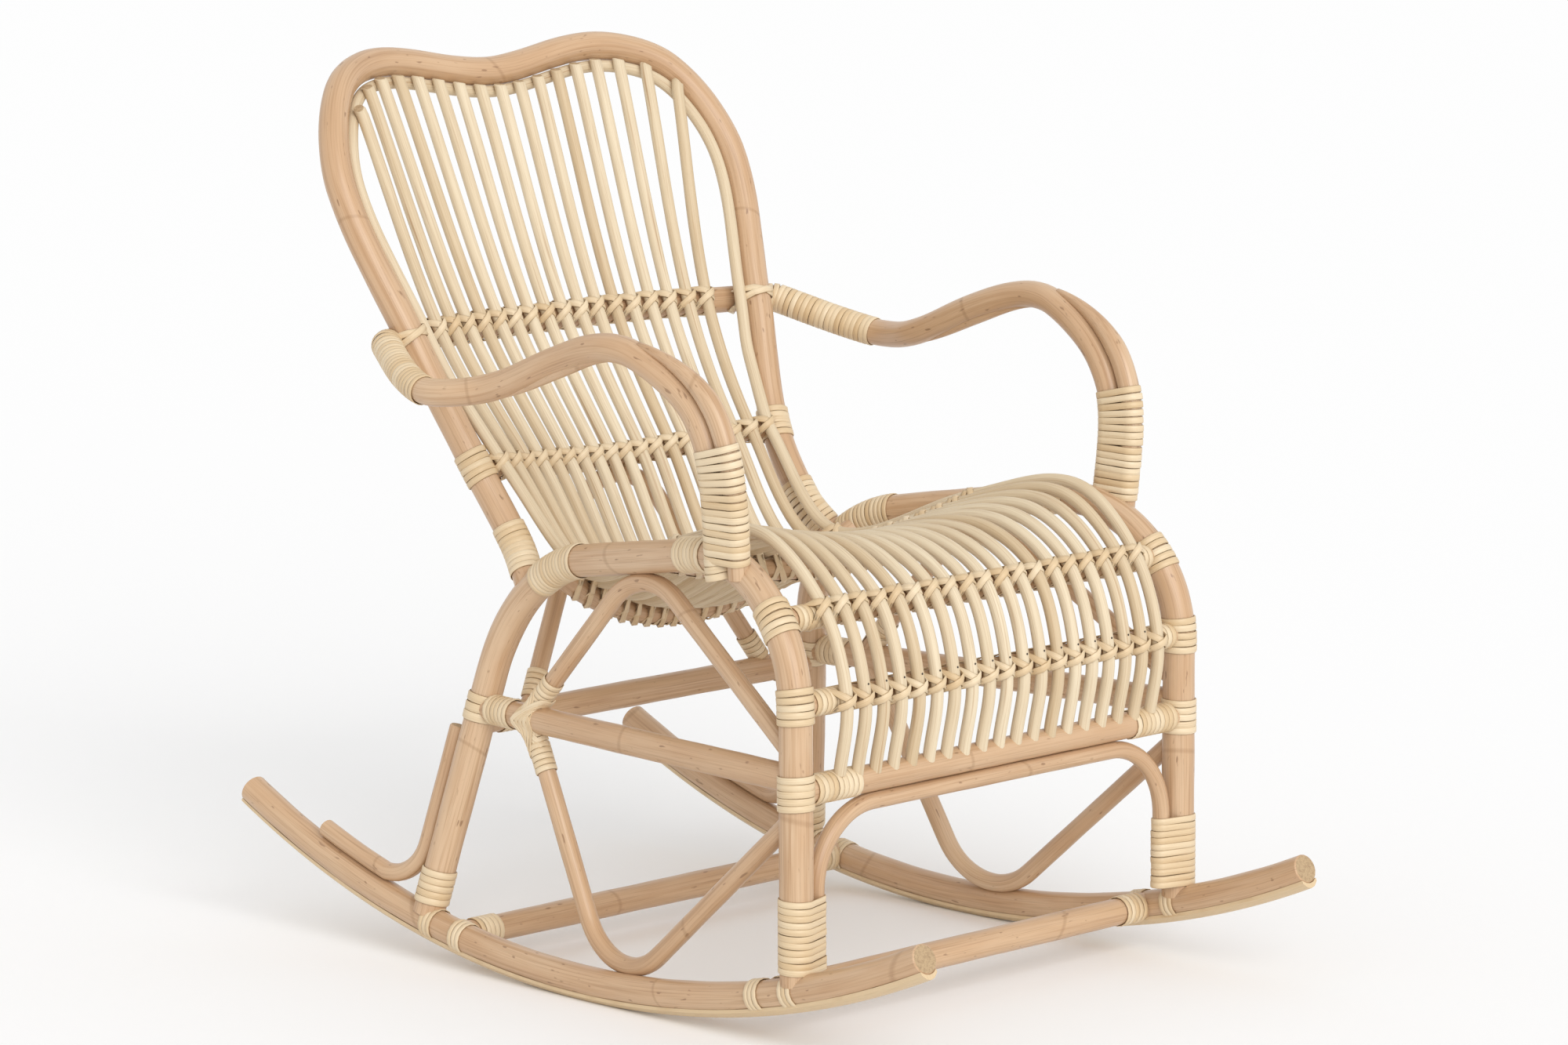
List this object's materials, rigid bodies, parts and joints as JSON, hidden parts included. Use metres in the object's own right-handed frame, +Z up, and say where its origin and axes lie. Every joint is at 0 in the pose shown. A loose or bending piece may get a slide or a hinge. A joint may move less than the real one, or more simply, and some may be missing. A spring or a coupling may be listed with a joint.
{
  "type": "rattan rocking chair",
  "caption": "Rocking chair of bent rattan poles with a spindle back and seat, looped arms, arched braces and curved rockers.",
  "frame": {"origin": "on the floor, midway between the rockers and between their ends", "axes": "the chair faces -Y, +X is the sitter's left, +Z is up"},
  "size_m": [0.651, 0.9712, 0.8876],
  "materials": {
    "pole": "satin, skin left on",
    "rod": "matt, peeled",
    "peel": "satin strips of rattan peel"
  },
  "bodies": {
    "root": {"back_hoop": "pole", "back_lining_rod": "rod", "upper_back_rail": "pole", "lower_back_rail": "pole", "seat_rear_rail": "pole", "seat_mid_rail": "pole", "front_knee_rail": "pole", "front_mid_rail": "pole", "front_bottom_rail": "pole", "front_arch": "pole", "rear_arch": "pole", "rear_cross_rail": "pole", "front_rocker_stretcher": "pole", "rear_rocker_stretcher": "pole", "side_frame_right": "pole", "side_frame_left": "pole", "arm_right": "pole", "arm_left": "pole", "arm_second_pole_right": "pole", "arm_second_pole_left": "pole", "side_arch_right": "pole", "side_arch_left": "pole", "side_vee_right": "pole", "side_vee_left": "pole", "side_stretcher_right": "pole", "side_stretcher_left": "pole", "heel_bracket_right": "pole", "heel_bracket_left": "pole", "rocker_right": "pole", "rocker_left": "pole", "rocker_strip_right": "peel", "rocker_strip_left": "peel", "spindle_01": "rod", "spindle_02": "rod", "spindle_03": "rod", "spindle_04": "rod", "spindle_05": "rod", "spindle_06": "rod", "spindle_07": "rod", "spindle_08": "rod", "spindle_09": "rod", "spindle_10": "rod", "spindle_11": "rod", "spindle_12": "rod", "spindle_13": "rod", "spindle_14": "rod", "spindle_15": "rod", "spindle_16": "rod", "spindle_17": "rod", "arm_post_wrap_right": "peel", "arm_post_wrap_left": "peel", "arm_rear_wrap_right": "peel", "arm_rear_wrap_left": "peel", "hoop_foot_wrap_right": "peel", "hoop_foot_wrap_left": "peel", "seat_rail_wrap_right": "peel", "seat_rail_wrap_left": "peel", "front_foot_wrap_right": "peel", "front_foot_wrap_left": "peel"}
  },
  "joints": []
}
